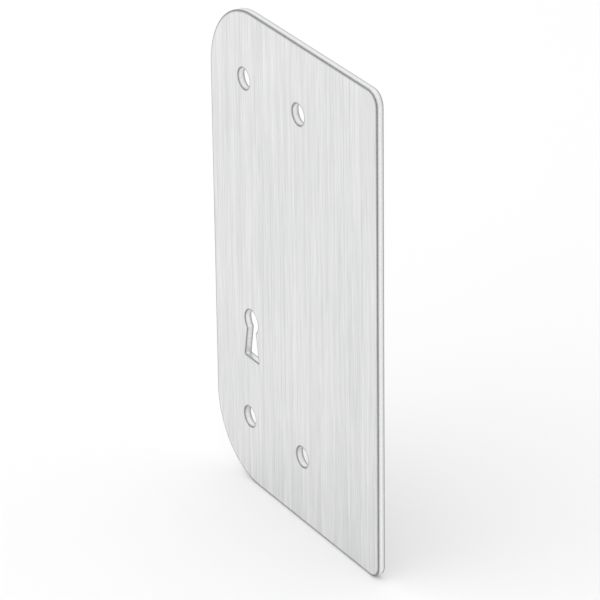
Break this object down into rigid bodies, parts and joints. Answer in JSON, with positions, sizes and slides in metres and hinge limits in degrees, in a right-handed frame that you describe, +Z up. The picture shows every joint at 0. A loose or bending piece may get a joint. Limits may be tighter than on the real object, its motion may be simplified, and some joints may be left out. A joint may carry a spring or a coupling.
{
  "type": "deadlock anti-thrust plate",
  "caption": "Flat upright steel plate with rounded corners, plain bolt holes and a keyhole, bolted over a deadlock to cover the gap between door and frame beside the lock's bolt.",
  "frame": {"origin": "centre of the bolt-hole pattern, on the back face", "axes": "+Z up along the plate's height, +X to the right as seen from in front, +Y out of the back face towards the door, front face towards -Y"},
  "size_m": [0.1, 0.0025, 0.17],
  "materials": {
    "steel": "satin, with a fine grain along the height"
  },
  "bodies": {
    "root": {"plate": "steel"}
  },
  "joints": []
}
